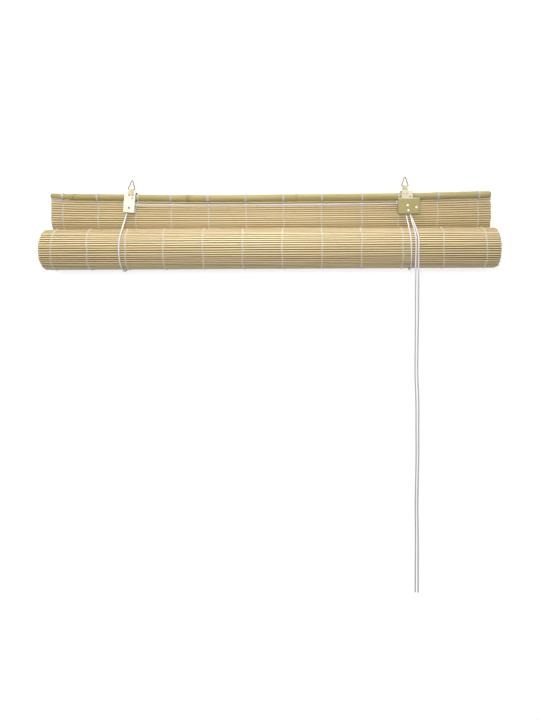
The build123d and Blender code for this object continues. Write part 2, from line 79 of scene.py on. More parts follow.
class Gather:
    # collects strips of points and faces into one mesh
    def __init__(self):
        self.points = []
        self.faces = []
        self.uv = []
        self.tone = []
        self.count = 0

    def strip(self, rings, uv, tone, caps=True):
        # rings (stations, sides, 3): quads between stations, closed round the sides, fans at both ends
        stations, sides = rings.shape[:2]
        index = self.count + np.arange(stations * sides).reshape(stations, sides)
        ahead = np.roll(index, -1, axis=1)
        quads = np.stack([index[:-1], index[1:], ahead[1:], ahead[:-1]], -1).reshape(-1, 4)
        self.points.append(rings.reshape(-1, 3))
        self.uv.append(uv.reshape(-1, 2))
        self.tone.append(np.broadcast_to(tone, (stations, sides)).reshape(-1))
        self.faces.append(quads)
        self.count += stations * sides
        if not caps:
            return
        # the fan's middle has v = 1/4, the middle of a splint's face, where the painted gap shade is nil
        faceMiddle = 0.25
        for end in (0, -1):
            ring = index[end]
            fan = np.stack([np.full(sides, self.count), ring, np.roll(ring, -1), np.full(sides, -1)], -1)
            self.points.append(rings[end].mean(0)[None])
            self.uv.append(np.array([[uv[end, 0, 0], faceMiddle]]))
            self.tone.append(np.atleast_1d(np.mean(tone)))
            self.faces.append(fan if end == 0 else fan[:, [0, 2, 1, 3]])
            self.count += 1

    def build(self, name, look):
        piece = buildMesh(name, np.concatenate(self.points), np.concatenate(self.faces),
                          np.concatenate(self.uv), np.concatenate(self.tone))
        piece.data.materials.append(look)
        return piece


def tubeRings(path, radius, sides):
    # rings round a path: frames carried along it so that they don't twist
    path = np.asarray(path, float)
    ahead = np.gradient(path, axis=0)
    ahead /= np.linalg.norm(ahead, axis=1)[:, None]
    alongNoPath = (0.31, 0.74, 0.59)
    side = np.cross(ahead[0], alongNoPath)
    side /= np.linalg.norm(side)
    turns = np.arange(sides) * 2 * np.pi / sides
    radius = np.broadcast_to(radius, (len(path),))
    rings = np.empty((len(path), sides, 3))
    for at in range(len(path)):
        side = side - ahead[at] * (side @ ahead[at])
        side /= np.linalg.norm(side)
        across = np.cross(ahead[at], side)
        rings[at] = path[at] + radius[at] * (np.cos(turns)[:, None] * side + np.sin(turns)[:, None] * across)
    return rings


def tubeUv(path, sides):
    # u is the length along the path, v goes once round
    steps = np.linalg.norm(np.diff(path, axis=0), axis=1)
    along = np.concatenate([[0], np.cumsum(steps)])
    around = np.arange(sides) / sides
    return np.stack(np.broadcast_arrays(along[:, None], around[None]), -1)


def newMaterial(name, roughness):
    # a new node material with its shader, ready for links
    material = bpy.data.materials.new(name)
    material.use_nodes = True
    shader = material.node_tree.nodes["Principled BSDF"]
    shader.inputs["Roughness"].default_value = roughness
    return material, shader


def addNode(material, kind, **settings):
    node = material.node_tree.nodes.new(kind)
    for key, value in settings.items():
        if hasattr(node, key):
            setattr(node, key, value)
        else:
            node.inputs[key.replace("_", " ")].default_value = value
    return node


def link(material, source, target):
    material.node_tree.links.new(source, target)


def math2(material, operation, first, second=None):
    # one Math node whose inputs are numbers or sockets
    node = material.node_tree.nodes.new("ShaderNodeMath")
    node.operation = operation
    for at, value in enumerate((first, second)):
        if value is None:
            continue
        if isinstance(value, (int, float)):
            node.inputs[at].default_value = value
        else:
            link(material, value, node.inputs[at])
    return node.outputs[0]


def onePart(material, vector, axis):
    node = material.node_tree.nodes.new("ShaderNodeSeparateXYZ")
    link(material, vector, node.inputs[0])
    return node.outputs[axis]


def ramp(material, factor, stops):
    node = material.node_tree.nodes.new("ShaderNodeValToRGB")
    elements = node.color_ramp.elements
    while len(elements) < len(stops):
        elements.new(0.5)
    for element, (place, colour) in zip(elements, stops):
        element.position = place
        element.color = (*colour, 1)
    link(material, factor, node.inputs["Fac"])
    return node.outputs["Color"]


def mixColour(material, factor, first, second, blend="MIX"):
    node = material.node_tree.nodes.new("ShaderNodeMix")
    node.data_type = "RGBA"
    node.blend_type = blend
    for value, socket in ((factor, node.inputs[0]), (first, node.inputs[6]), (second, node.inputs[7])):
        if isinstance(value, (int, float)):
            socket.default_value = value
        elif isinstance(value, tuple):
            socket.default_value = (*value, 1)
        else:
            link(material, value, socket)
    return node.outputs[2]


def toneOf(material):
    # the piece's own tone attribute
    return addNode(material, "ShaderNodeAttribute", attribute_name="tone").outputs["Fac"]


def objectSpot(material):
    return addNode(material, "ShaderNodeTexCoord").outputs["Object"]


def tubeSpot(material):
    return addNode(material, "ShaderNodeUVMap", uv_map="UVMap").outputs["UV"]


def stretched(material, source, scale):
    # source coordinates times scale
    node = material.node_tree.nodes.new("ShaderNodeMapping")
    node.inputs["Scale"].default_value = scale
    link(material, source, node.inputs["Vector"])
    return node.outputs["Vector"]


def noise(material, vector, scale=1.0, detail=3.0, rough=0.5):
    node = material.node_tree.nodes.new("ShaderNodeTexNoise")
    node.inputs["Scale"].default_value = scale
    node.inputs["Detail"].default_value = detail
    node.inputs["Roughness"].default_value = rough
    link(material, vector, node.inputs["Vector"])
    return node.outputs["Fac"]


def bump(material, shader, height, strength, distance):
    node = material.node_tree.nodes.new("ShaderNodeBump")
    node.inputs["Strength"].default_value = strength
    node.inputs["Distance"].default_value = distance
    link(material, height, node.inputs["Height"])
    link(material, node.outputs["Normal"], shader.inputs["Normal"])


# Split bamboo: tone picks each splint's own colour, long fibres run along it, a faint node crosses it; painted shade
# in the gaps
bamboo = {"rough": 0.42, "shine": 0.55, "sheen": 0.75, "sheenRough": 0.3,
          "own": [(0.0, (0.47, 0.34, 0.16)), (0.3, (0.68, 0.51, 0.25)), (0.65, (0.79, 0.62, 0.335)),
                  (1.0, (0.86, 0.72, 0.435))],
          "fibreStretch": (26, 7, 1), "fibreShare": 0.2, "fibreColour": (0.60, 0.45, 0.23),
          "patchStretch": (5, 1.7, 1), "patchPower": 4.0, "patchColour": (0.55, 0.48, 0.33),
          "gap": [(0.54, (0, 0, 0)), (0.76, (0.96, 0.96, 0.96))], "gapShadeColour": (0.10, 0.056, 0.017),
          "nodesPerMetre": 2.7, "nodeHalf": 0.004, "nodeShare": 0.22, "nodeColour": (0.33, 0.22, 0.10),
          "nodeHeight": 0.4, "bump": 0.12}


def splintMaterial():
    material, shader = newMaterial("splitBamboo", bamboo["rough"])
    shader.inputs["Sheen Roughness"].default_value = bamboo["sheenRough"]
    uv = tubeSpot(material)
    tone = toneOf(material)
    fibre = noise(material, stretched(material, uv, bamboo["fibreStretch"]), detail=5.0, rough=0.62)
    patch = noise(material, stretched(material, uv, bamboo["patchStretch"]), detail=2.0)
    own = ramp(material, tone, bamboo["own"])
    streaked = mixColour(material, math2(material, "MULTIPLY", fibre, bamboo["fibreShare"]), own,
                         bamboo["fibreColour"])
    greyed = mixColour(material, math2(material, "POWER", patch, bamboo["patchPower"]), streaked,
                       bamboo["patchColour"])
    # painted shade in the gaps between splints: a ramp on |cos(2 pi v)|, which is 1 at both edges, darkens the edges
    edge = math2(material, "ABSOLUTE", math2(material, "COSINE",
                 math2(material, "MULTIPLY", onePart(material, uv, 1), 2 * math.pi)))
    shade = ramp(material, edge, bamboo["gap"])
    gapShaded = mixColour(material, shade, greyed, bamboo["gapShadeColour"])
    # the shine is on the split faces and not in the painted shade of the gaps
    clear = math2(material, "SUBTRACT", 1.0, shade)
    link(material, math2(material, "MULTIPLY", clear, bamboo["shine"]), shader.inputs["Specular IOR Level"])
    link(material, math2(material, "MULTIPLY", clear, bamboo["sheen"]), shader.inputs["Sheen Weight"])
    # a node where fract(length * nodesPerMetre) is within nodeHalf of 0.5: one in 0.37 m, 3 mm wide
    place = math2(material, "FRACT",
                  math2(material, "MULTIPLY", onePart(material, uv, 0), bamboo["nodesPerMetre"]))
    ring = math2(material, "COMPARE", place, 0.5)
    ring.node.inputs[2].default_value = bamboo["nodeHalf"]
    final = mixColour(material, math2(material, "MULTIPLY", ring, bamboo["nodeShare"]), gapShaded,
                      bamboo["nodeColour"])
    link(material, final, shader.inputs["Base Color"])
    height = math2(material, "ADD", fibre, math2(material, "MULTIPLY", ring, bamboo["nodeHeight"]))
    bump(material, shader, height, bamboo["bump"], distance=0.0005)
    return material


# Bamboo skin of the rods: even yellow with long streaks; the tone attribute gives darker node rings and painted shade
# in the hollow ends
skin = {"rough": 0.55, "shine": 0.2, "streakStretch": (7, 190, 190), "cloudStretch": (9, 30, 30),
        "streaks": [(0.25, (0.31, 0.235, 0.085)), (0.5, (0.40, 0.325, 0.145)), (0.75, (0.46, 0.39, 0.205))],
        "cloudShare": 0.45, "cloudColour": (0.42, 0.37, 0.155), "nodeColour": (0.17, 0.105, 0.035), "bump": 0.18}


def caneMaterial(name, useTone):
    material, shader = newMaterial(name, skin["rough"])
    shader.inputs["Specular IOR Level"].default_value = skin["shine"]
    spot = objectSpot(material)
    streak = noise(material, stretched(material, spot, skin["streakStretch"]), detail=4.0, rough=0.6)
    cloud = noise(material, stretched(material, spot, skin["cloudStretch"]), detail=2.0)
    base = ramp(material, streak, skin["streaks"])
    tint = mixColour(material, math2(material, "MULTIPLY", cloud, skin["cloudShare"]), base, skin["cloudColour"])
    # tone darkens the node rings, and is painted shade on the end faces and inside the hollow
    if useTone:
        tint = mixColour(material, toneOf(material), tint, skin["nodeColour"])
    link(material, tint, shader.inputs["Base Color"])
    bump(material, shader, streak, skin["bump"], distance=0.0005)
    return material


# Twisted cotton: diagonal plies from the tube's own coordinates, crossed where there are four, as in a braid, with
# painted shade in the ply grooves
cotton = {"soilStretch": (60, 3, 1), "soilShare": 0.35, "plyEdge": 0.24, "bump": 0.7, "sheen": 0.2}


def threadMaterial(name, colour, dark, greyTint, plies, twist, rough):
    material, shader = newMaterial(name, rough)
    shader.inputs["Sheen Weight"].default_value = cotton["sheen"]
    uv = tubeSpot(material)
    along = math2(material, "MULTIPLY", onePart(material, uv, 0), twist)
    around = math2(material, "MULTIPLY", onePart(material, uv, 1), plies)
    lay = math2(material, "PINGPONG", math2(material, "ADD", along, around), 0.5)
    if plies > 3:
        cross = math2(material, "PINGPONG", math2(material, "SUBTRACT", along, around), 0.5)
        lay = math2(material, "MINIMUM", lay, cross)
    soil = noise(material, stretched(material, uv, cotton["soilStretch"]))
    # painted shade: the ply grooves take the dark colour, which is also the soil colour
    plyShaded = ramp(material, lay, [(0.0, dark), (cotton["plyEdge"], colour)])
    tint = mixColour(material, math2(material, "MULTIPLY", soil, cotton["soilShare"]), plyShaded, dark)
    # tone mixes in a flat grey: painted shade on the lift cords under the rod, a plain greying on the windings and on
    # the pull cords below the roll
    link(material, mixColour(material, toneOf(material), tint, greyTint), shader.inputs["Base Color"])
    bump(material, shader, lay, cotton["bump"], distance=0.0006)
    return material


# Plated sheet: fine rolling lines, faint tarnish; where split is given, low takes over below that height as painted
# reflection, a lighter or darker copy of the plating
plating = {"lineStretch": (900, 60, 60), "tarnishScale": 160.0, "tarnish": [(0.42, (0, 0, 0)), (0.62, (1, 1, 1))],
           "splitWaver": 0.002, "lowShade": 0.8, "lineRough": 0.16, "lineDip": 0.06, "bump": 0.12}


def brassMaterial(name, colour, worn, metal, rough, split=None, low=None, headShade=None):
    material, shader = newMaterial(name, rough)
    shader.inputs["Metallic"].default_value = metal
    spot = objectSpot(material)
    lines = noise(material, stretched(material, spot, plating["lineStretch"]), rough=0.6)
    tarnish = noise(material, spot, plating["tarnishScale"], detail=4.0, rough=0.6)
    tint = mixColour(material, ramp(material, tarnish, plating["tarnish"]), colour, worn)
    # painted reflection: below the split height the plating shows as low, mottled toward a darker copy of it
    if split is not None:
        height = math2(material, "ADD", onePart(material, spot, 2),
                       math2(material, "MULTIPLY", tarnish, plating["splitWaver"]))
        below = math2(material, "LESS_THAN", height, split)
        shaded = tuple(plating["lowShade"] * part for part in low)
        tint = mixColour(material, below, tint, mixColour(material, tarnish, low, shaded))
    # painted shade: the tone darkens a head toward this dark colour, for the shade and dark reflection on small domed
    # heads
    if headShade is not None:
        tint = mixColour(material, toneOf(material), tint, headShade)
    link(material, tint, shader.inputs["Base Color"])
    shine = math2(material, "ADD", math2(material, "MULTIPLY", lines, plating["lineRough"]),
                  rough - plating["lineDip"])
    link(material, shine, shader.inputs["Roughness"])
    bump(material, shader, lines, plating["bump"], distance=0.0002)
    return material


# Moulded nylon: faint flow marks
nylon = {"rough": 0.42, "flowScale": 420.0, "flow": [(0.3, (0.70, 0.68, 0.62)), (0.7, (0.82, 0.81, 0.77))],
         "bump": 0.1}


def nylonMaterial():
    material, shader = newMaterial("nylon", nylon["rough"])
    flow = noise(material, objectSpot(material), nylon["flowScale"])
    link(material, ramp(material, flow, nylon["flow"]), shader.inputs["Base Color"])
    bump(material, shader, flow, nylon["bump"], distance=0.0002)
    return material


splintLook = splintMaterial()
caneLook = caneMaterial("caneSkin", True)
coreLook = caneMaterial("coreCane", False)
warpLook = threadMaterial("cottonWarp", colour=(0.74, 0.73, 0.71), dark=(0.47, 0.46, 0.44),
                          greyTint=(0.4, 0.4, 0.4), plies=2, twist=420.0, rough=0.85)
cordLook = threadMaterial("braidedCord", colour=(0.90, 0.89, 0.89), dark=(0.55, 0.54, 0.57),
                          greyTint=(0.36, 0.36, 0.38), plies=4, twist=240.0, rough=0.7)
# All clips and tabs are one brass plating; their colours differ as painted reflection: the left clip pale, the lock
# olive and darker below its split, the tabs darker above their split and pale below
sheetLook = brassMaterial("platedSheet", colour=(0.70, 0.68, 0.54), worn=(0.78, 0.77, 0.66), metal=0.45, rough=0.40)
lockLook = brassMaterial("platedLock", colour=(0.58, 0.54, 0.38), worn=(0.67, 0.63, 0.48), metal=0.5, rough=0.44,
                         split=-0.0455, low=(0.37, 0.315, 0.13))
pinLook = brassMaterial("platedPins", colour=(0.84, 0.80, 0.68), worn=(0.90, 0.87, 0.78), metal=0.6, rough=0.28,
                        headShade=(0.10, 0.085, 0.06))
leftTabLook = brassMaterial("platedLeftTab", colour=(0.48, 0.40, 0.23), worn=(0.59, 0.52, 0.34), metal=0.5,
                            rough=0.42, split=-0.0365, low=(0.74, 0.72, 0.60))
rightTabLook = brassMaterial("platedRightTab", colour=(0.44, 0.38, 0.22), worn=(0.56, 0.49, 0.31), metal=0.5,
                             rough=0.42, split=-0.0265, low=(0.66, 0.62, 0.47))
wireLook = brassMaterial("platedWire", colour=(0.15, 0.11, 0.05), worn=(0.23, 0.18, 0.085), metal=0.3, rough=0.42)
nailLook = brassMaterial("plainNail", colour=(0.16, 0.15, 0.13), worn=(0.24, 0.23, 0.20), metal=0.8, rough=0.42)
camLook = brassMaterial("castCam", colour=(0.60, 0.50, 0.27), worn=(0.70, 0.60, 0.36), metal=1.0, rough=0.42)
nylonLook = nylonMaterial()
print("materials made")


# Mat: the middle line of the solid's section, repeated in millimetres; the rod's bow fades out by the roll
mat = {"width": 996.0, "rodY": 10.45, "rodZ": -39.907, "y": 11.95, "top": -52.099, "pitch": 5.0, "turnPitch": 3.7,
       "swayRadius": 60.0, "rollY": -4.75, "rollZ": -156.107, "innerRadius": 10.0, "rolled": 1727.0, "count": 360,
       "fadeRun": 10.0, "fadePower": 1.2}
rollMid = math.sqrt(mat["innerRadius"]**2 + mat["rolled"] * mat["turnPitch"] / math.pi)
swayAngle = math.acos((mat["y"] + mat["swayRadius"] - mat["rollY"]) / (mat["swayRadius"] + rollMid))
swayTop = mat["rollZ"] + (mat["swayRadius"] + rollMid) * math.sin(swayAngle)
straightRun = mat["top"] - swayTop
woundStart = straightRun + mat["swayRadius"] * swayAngle
outerTurn = 2 * math.pi * rollMid


# the cane's bow in millimetres: low in the middle, up at both ends, with a kink at its left end
bow = {"half": 500.0, "sag": -3.4, "rise": 5.6, "power": 1.7, "wave": 0.5, "waves": 7.1, "phase": 0.6,
       "kink": 2.2, "kinkFrom": -0.88, "kinkSpan": 0.12}


def rodRise(x):
    # sag + rise |s|^power + wave sin(waves s + phase) + kink * (0 to 1 over the kink's span), s = x / half
    share = np.asarray(x, float) / bow["half"]
    curve = bow["sag"] + bow["rise"] * np.abs(share)**bow["power"]
    curve = curve + bow["wave"] * np.sin(bow["waves"] * share + bow["phase"])
    return curve + bow["kink"] * np.clip((bow["kinkFrom"] - share) / bow["kinkSpan"], 0, 1)


def matPoint(run, lift):
    # straight hang, then an arc back, then the spiral r = sqrt(rollMid^2 - turnPitch * wound / pi), as (y, z)
    run = np.asarray(run, float)
    hung = np.stack(np.broadcast_arrays(mat["y"] + lift, mat["top"] - run), -1)
    turn = (run - straightRun) / mat["swayRadius"]
    reach = mat["swayRadius"] - lift
    swung = np.stack([mat["y"] + mat["swayRadius"] - reach * np.cos(turn), swayTop - reach * np.sin(turn)], -1)
    wound = np.maximum(run - woundStart, 0)
    inward = np.sqrt(np.maximum(rollMid**2 - mat["turnPitch"] * wound / np.pi, 1))
    angle = swayAngle - (rollMid - inward) * 2 * np.pi / mat["turnPitch"]
    rolled = np.stack([mat["rollY"] + (inward + lift) * np.cos(angle),
                       mat["rollZ"] + (inward + lift) * np.sin(angle)], -1)
    place = run[..., None]
    return np.where(place < straightRun, hung, np.where(place < woundStart, swung, rolled))


def matFrame(run):
    # middle point, unit tangent down the mat and unit normal to its back face, all in (y, z)
    here = matPoint(run, 0.0)
    normal = matPoint(run, 1.0) - here
    normal /= np.linalg.norm(normal)
    return here, np.array([normal[1], -normal[0]]), normal


def hangShare(run):
    # how much of the rod's bow the mat still has at this run: all at its top, none at the roll
    return np.maximum(0.0, 1 - np.asarray(run) / (woundStart + mat["fadeRun"])) ** mat["fadePower"]


# Splints: each one a flattened rod with its own width, waver and colour; the first one is cut out at the clips
splint = {"section": 10, "fineStations": 22, "coarseStations": 2, "firstStations": 16, "endRing": 0.5,
          "low": 4.2, "high": 4.55, "hung": 5.12, "thick": 2.2, "thin": 0.88, "fat": 1.1,
          "square": 0.77, "round": 1.0, "endGap": 1.5, "endScatter": 0.6, "endMost": 1.4, "seenPast": 12.0,
          "firstSpans": [(-497, -334), (-301, 283), (324, 497)], "firstShift": (0.9, 0.35),
          "tone": 0.68, "toneScatter": 0.15, "oddShare": 0.04, "oddLow": 0.1, "oddHigh": 0.3,
          "waver": 0.32, "waverWave": 420.0, "waverSeed": 900, "bulge": 0.06, "bulgeWave": 160.0,
          "bulgeSeed": 1900, "calm": 0.2, "uvStep": 1.7}
splints = Gather()
turns = np.arange(splint["section"]) * 2 * np.pi / splint["section"]
for item in range(-1, mat["count"]):
    first = item == -1
    run = (item + 0.5) * mat["pitch"]
    hangs = run < woundStart
    seen = run < woundStart + outerTurn + splint["seenPast"]
    stations = splint["fineStations"] if seen else splint["coarseStations"]
    ends = np.clip(chance.normal(0, splint["endScatter"], 2), -splint["endMost"], splint["endMost"])
    half = mat["width"] / 2
    spans = [(-half + splint["endGap"] + ends[0], half - splint["endGap"] + ends[1])]
    here, down, back = matFrame(run)
    wide = chance.uniform(splint["low"], splint["high"])
    if hangs:
        wide = splint["hung"]
    if first:
        spans = splint["firstSpans"]
        stations = splint["firstStations"]
        here = here + np.array(splint["firstShift"])
    thick = splint["thick"] * chance.uniform(splint["thin"], splint["fat"])
    tone = float(np.clip(chance.normal(splint["tone"], splint["toneScatter"]), 0, 1))
    if seen and chance.uniform() < splint["oddShare"]:
        tone = chance.uniform(splint["oddLow"], splint["oddHigh"])
    # a superellipse section, |across/a|^(2/power) + |through/b|^(2/power) = 1
    power = splint["round"] if hangs else splint["square"]
    across = np.sign(np.cos(turns)) * np.abs(np.cos(turns))**power * wide / 2
    through = np.sign(np.sin(turns)) * np.abs(np.sin(turns))**power * thick / 2
    calm = splint["calm"] if hangs else 1.0
    for low, high in spans:
        x = np.concatenate([[low], np.linspace(low + splint["endRing"], high - splint["endRing"], stations), [high]])
        waver = bulge = 0 * x
        if seen:
            waver = splint["waver"] * calm * smoothNoise(x, splint["waverSeed"] + item, splint["waverWave"])
            bulge = splint["bulge"] * calm * smoothNoise(x, splint["bulgeSeed"] + item, splint["bulgeWave"])
        shift = waver[:, None] + across[None] * (1 + bulge)[:, None]
        depth = through[None] * (1 + bulge)[:, None]
        rings = np.empty((len(x), len(turns), 3))
        rings[..., 0] = x[:, None]
        rings[..., 1] = here[0] + down[0] * shift + back[0] * depth
        rings[..., 2] = here[1] + down[1] * shift + back[1] * depth + (hangShare(run) * rodRise(x))[:, None]
        # each splint takes its own stretch of the texture, uvStep apart
        uv = np.stack(np.broadcast_arrays(x[:, None] * mm + splint["uvStep"] * item, (turns / 2 / np.pi)[None]), -1)
        splints.strip(rings * mm, uv, tone)
splintPiece = splints.build("splints", splintLook)
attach(splintPiece, "blind")
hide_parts("reed_mat")
print("splints", len(splintPiece.data.polygons))

# Head rod: stations (place, radius) of the solid, finer, with ridges at the nodes and the bow of the cane
rod = {"sides": 36, "bore": 2.75, "boreDepth": 38.0, "evenStations": 220, "nodes": (-443, -187, 57.4),
       "nodeReach": 6, "nodeStations": 13, "endStations": (-494, -493, 491, 493, 494),
       "oval": 0.012, "ovalWave": 90.0, "swell": 0.008, "swellWave": 300.0, "swellSeed": 5,
       "slant": 3.0, "slantAt": -443, "slantSpan": 14.0, "lipShadeTone": 0.5, "hollowShadeTone": 0.9,
       "stations": [(-495, 5.7), (-493, 6.0), (-455, 6.3), (-447, 6.9), (-443, 7.7), (-440, 7.25), (-436, 7.1),
                    (-330, 7.2), (-200, 7.3), (-191, 7.8), (-188.5, 8.3), (-187, 7.9), (-185.5, 8.3), (-183, 8.1),
                    (-176, 8.0), (0, 8.3), (50, 8.4), (55, 8.6), (57.4, 8.88), (60, 8.6), (65, 8.4), (300, 8.2),
                    (470, 7.9), (489, 7.7), (493, 7.2), (495, 6.4)],
       "rings": [(-443, 1.6, 0.55), (-188.5, 1.1, 0.7), (-185.2, 1.3, 0.65), (-181.5, 0.9, 0.3), (57.4, 1.3, 0.3)]}
stationX, stationR = np.array(rod["stations"], float).T
x = np.unique(np.concatenate(
    [np.linspace(stationX[0], stationX[-1], rod["evenStations"]), np.array(rod["endStations"])]
    + [np.linspace(at - rod["nodeReach"], at + rod["nodeReach"], rod["nodeStations"]) for at in rod["nodes"]]))
radius = np.interp(x, stationX, stationR)
dark = np.zeros_like(x)
for at, spread, depth in rod["rings"]:
    dark = np.maximum(dark, depth * np.exp(-((x - at) / spread)**2))
turns = np.arange(rod["sides"]) * 2 * np.pi / rod["sides"]
# 1 + oval cos(2 t + x / ovalWave) + swell noise(x)
bends = 1 + rod["oval"] * np.cos(2 * turns[None] + x[:, None] / rod["ovalWave"])
bends = bends + rod["swell"] * smoothNoise(x, rod["swellSeed"], rod["swellWave"])[:, None]
# the slanted step of the left node: its ridge leans by slant exp(-((x - slantAt) / slantSpan)^2) sin t
slant = rod["slant"] * np.exp(-((x[:, None] - rod["slantAt"]) / rod["slantSpan"])**2)
rings = np.empty((len(x), len(turns), 3))
rings[..., 0] = x[:, None] + slant * np.sin(turns)[None]
rings[..., 1] = mat["rodY"] + radius[:, None] * bends * np.cos(turns)[None]
rings[..., 2] = mat["rodZ"] + rodRise(x)[:, None] + radius[:, None] * bends * np.sin(turns)[None]
# both ends turn in to the hollow of the cane
inner = []
for side in (0, -1):
    centre = np.array([0, mat["rodY"], mat["rodZ"] + rodRise(x[side])])
    lip = rings[side].copy()
    lip[:, 1:] = centre[1:] + (lip[:, 1:] - centre[1:]) * rod["bore"] / stationR[side]
    deep = lip.copy()
    deep[:, 0] += rod["boreDepth"] * (1 if side == 0 else -1)
    inner.append([deep, lip] if side == 0 else [lip, deep])
rings = np.concatenate([inner[0], rings, inner[1]])
# tone: the node rings on the skin; at both ends painted shade, darker toward the bore and deeper inside it
tone = np.concatenate([[rod["hollowShadeTone"], rod["lipShadeTone"]], dark, [rod["lipShadeTone"], rod["hollowShadeTone"]]])
uv = np.stack(np.broadcast_arrays(rings[:, :1, 0] * mm, (turns / 2 / np.pi)[None]), -1)
cane = Gather()
cane.strip(rings * mm, uv, tone[:, None])
canePiece = cane.build("headCane", caneLook)
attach(canePiece, "blind")
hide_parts("head_rod")
print("head rod", len(canePiece.data.polygons))

# Warp threads: windings round the rod, two strands that cross between splints, and the outer turn of the roll.
# aside is where a thread starts and ends beside its place. rollLean is how far it leans under, in front of and
# over the roll, and rollAt says at which shares of the outer turn, with a start before and a run-out after them.
warp = {"places": [-469.26, -391.05, -298.98, -224.73, -142.065, -56.43, 28.215, 114.345, 205.425, 287.1, 376.2,
                   467.775],
        "aside": [(0, -3), (1, -1), (-5, -13), (1, -6), (1, 0), (1, -2), (0, -1), (0, -1), (0, 0), (0, 2), (0, 0),
                  (0, 2)],
        "asideRun": 140.0,
        "rollLean": [(-4.3, 2.9, -1.5), (-5.8, 0.0, -7.2), (-3.0, 2.9, -4.3), (-1.5, 2.3, -4.3), (-5.2, -0.9, -5.7),
                     (-2.0, 0.0, -2.5), (0.0, -1.0, -1.0), (0.3, -1.4, 0.0), (-4.3, -8.6, -6.6), (0.0, -3.7, -1.4),
                     (5.7, -3.4, 1.4), (2.9, -4.3, -1.4)],
        "rollAt": (0.2, 0.342, 0.592, 0.81, 0.87), "lastTurn": 0.985, "radius": 0.7, "sides": 7,
        "windings": 3, "windingSteps": 24, "windingWidth": 4.3, "windingLean": 0.25, "windingStart": 1.4,
        "windingTone": 0.45, "rodSwell": 1.02, "rodGap": 0.05, "stepShare": 0.25, "topRun": -5.5,
        "splintHalf": 1.08, "hug": 0.6, "beside": 0.95,
        "drifts": [(0.9, 300, 90.0), (0.4, 500, 17.0)]}
threads = Gather()
lastRun = woundStart + outerTurn * warp["lastTurn"]
for column, (place, off) in enumerate(zip(warp["places"], warp["aside"])):
    # windings: r = rod radius + thread radius, pitch a little under the thread's width
    angle = np.linspace(0, 2 * np.pi * warp["windings"], warp["windingSteps"] * warp["windings"] + 1)
    lean = chance.uniform(-warp["windingLean"], warp["windingLean"])
    wind = place + (angle / angle[-1] - 0.5) * warp["windingWidth"] + lean * np.sin(angle)
    reach = np.interp(wind, stationX, stationR) * warp["rodSwell"] + warp["radius"] + warp["rodGap"]
    path = np.stack([wind, mat["rodY"] + reach * np.cos(angle - warp["windingStart"]),
                     mat["rodZ"] + rodRise(wind) + reach * np.sin(angle - warp["windingStart"])], -1) * mm
    threads.strip(tubeRings(path, warp["radius"] * mm, warp["sides"]), tubeUv(path, warp["sides"]),
                  warp["windingTone"])
    # strands: most * sign(c) |c|^hug with c = cos(pi * step), crossing through the gap between two splints
    steps = np.arange(-1.0, lastRun / mat["pitch"], warp["stepShare"])
    runs = steps * mat["pitch"] + mat["pitch"] / 2
    drift = sum(size * smoothNoise(runs, seed + column, wave) for size, seed, wave in warp["drifts"])
    under, front, over = warp["rollLean"][column]
    leans = np.interp(runs, woundStart + outerTurn * np.array(warp["rollAt"]),
                      [0.0, under, front, over, 1.5 * over - 0.5 * front])
    most = warp["splintHalf"] + warp["radius"]
    for strand in (0, 1):
        rise = most * np.cos(np.pi * (steps + strand))
        outward = np.sign(rise) * np.abs(rise)**warp["hug"] * most**(1 - warp["hug"])
        y, z = matPoint(np.maximum(runs, warp["topRun"]), outward).T
        across = place + drift + off[0] + (off[1] - off[0]) * np.clip(runs / warp["asideRun"], 0, 1) + leans
        across = across + warp["beside"] * np.cos(np.pi * (runs / mat["pitch"] + strand))
        path = np.stack([across, y, z + hangShare(np.maximum(runs, 0)) * rodRise(across)], -1) * mm
        threads.strip(tubeRings(path, warp["radius"] * mm, warp["sides"]), tubeUv(path, warp["sides"]), 0.0)
threadPiece = threads.build("warpThreads", warpLook)
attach(threadPiece, "blind")
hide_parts("warp_threads")
print("warp threads", len(threadPiece.data.polygons))

# Lift cords: fixed at the back of the rod, straight down to the roll, round under it, straight up to the clip,
# over the wheels and into the lock. They are tight and held all along by the roll, the wheels and the lock.
lift = {"radius": 1.5, "sides": 12, "wrap": 49.29, "spacing": 2.0, "easing": 4, "arcSteps": 60, "wheelSteps": 12,
        "driftStart": 0.03, "drift": 0.93, "driftPower": 1.5,
        "bowAt": [0, 0.4, 0.75, 1], "bowShare": [0, 0.8, 1, 0.5],
        "leftTie": (-331.55, 19.3), "rightTie": (321.9, 20.4), "leftBow": 2.9, "rightBow": -4.4, "rightAside": 2.4,
        "leftTop": -76.0, "rightTop": -81.4, "leftAxle": (-317.141, 4.4, -64.015), "leftWheel": 6.0,
        "lockAxle": (306.65, -61.907), "lockWheel": 5.0, "lockAngle": 0.1, "frontY": 2.2, "rearY": 6.5,
        "nip": (312.95, -73.507), "lockExit": -79.907, "acrossSteps": 30, "acrossTop": -58.015, "acrossRise": 1.108,
        "acrossSag": 2.2, "greyAt": [-0.31, -0.29, 0.28, 0.30], "grey": [0.0, 0.36, 0.36, 0.0],
        "knotSteps": 60, "knotTurns": 2.5, "knotReach": 1.9, "knotEnd": 0.25, "knotOut": 0.6, "knotFlat": 0.7,
        "knotTall": 6.0, "knotCord": 1.2}


def smoothPath(points, spacing):
    # even spacing along the points, then a short running mean that eases the joins
    points = np.asarray(points, float)
    steps = np.concatenate([[0], np.cumsum(np.linalg.norm(np.diff(points, axis=0), axis=1))])
    along = np.linspace(0, steps[-1], int(steps[-1] / spacing) + 2)
    eased = np.stack([np.interp(along, steps, points[:, axis]) for axis in range(3)], -1)
    for unused in range(lift["easing"]):
        eased[1:-1] = 0.5 * eased[1:-1] + 0.25 * (eased[:-2] + eased[2:])
    return eased


